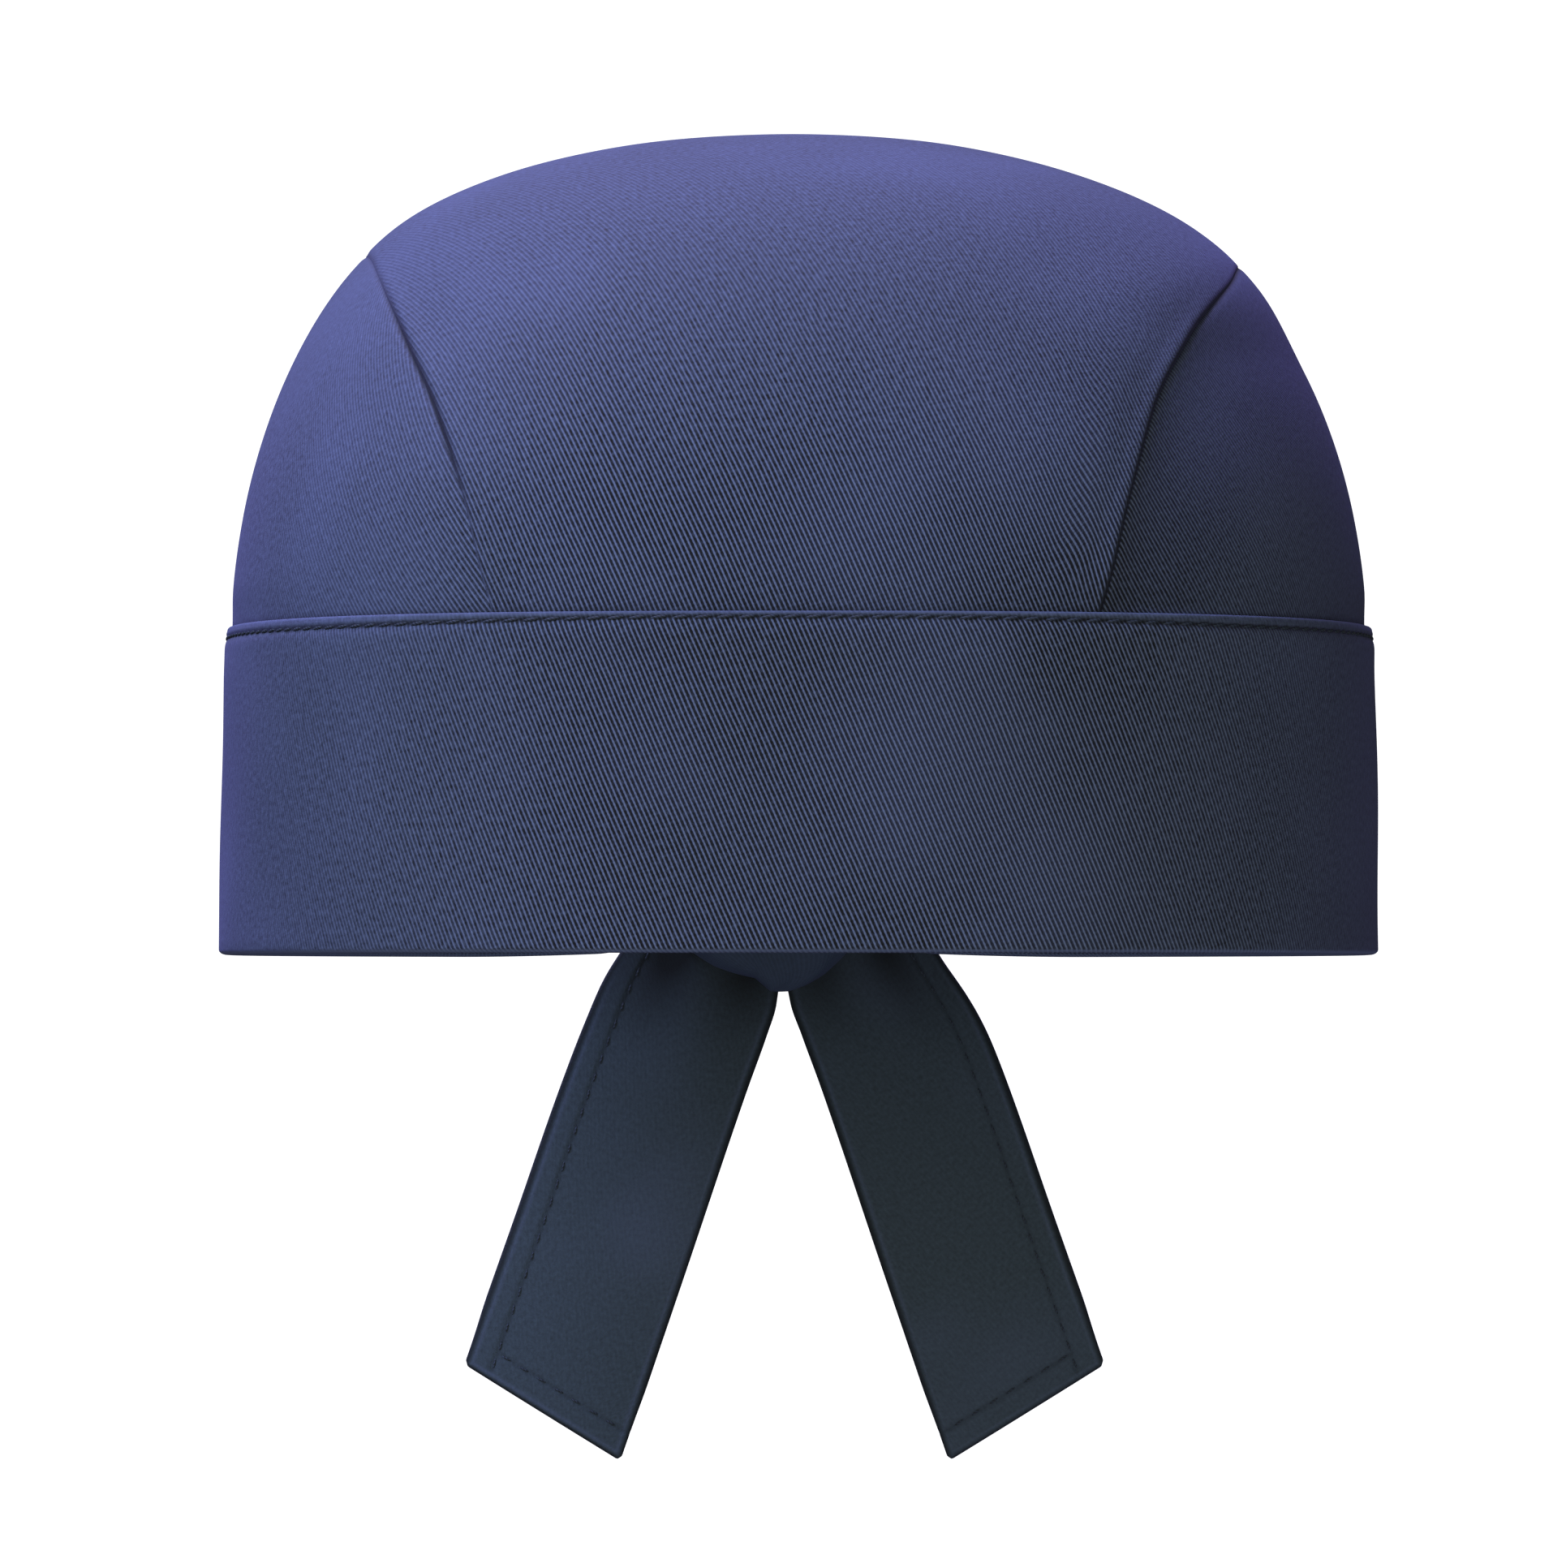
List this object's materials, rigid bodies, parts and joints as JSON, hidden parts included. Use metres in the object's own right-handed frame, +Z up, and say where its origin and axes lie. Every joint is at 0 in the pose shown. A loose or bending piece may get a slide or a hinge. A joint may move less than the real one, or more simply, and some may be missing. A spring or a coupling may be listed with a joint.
{
  "type": "bandana cap",
  "caption": "Soft head covering with a three-panel domed crown, a turned-up band and knotted ties hanging at the back.",
  "frame": {"origin": "centre of the head opening, level with the band's lower rim", "axes": "+Z up through the crown; the front faces -Y, the knot and ties are at +Y; +X is to the right as seen from the front"},
  "size_m": [0.176, 0.2148, 0.2057],
  "materials": {
    "crown_twill": "matt navy twill",
    "band_twill": "matt navy twill",
    "tie_twill": "matt navy twill"
  },
  "bodies": {
    "root": {"crown_panel": "crown_twill", "side_panel_left": "crown_twill", "side_panel_right": "crown_twill", "band": "band_twill", "knot": "tie_twill", "tie_left": "tie_twill", "tie_right": "tie_twill"}
  },
  "joints": []
}
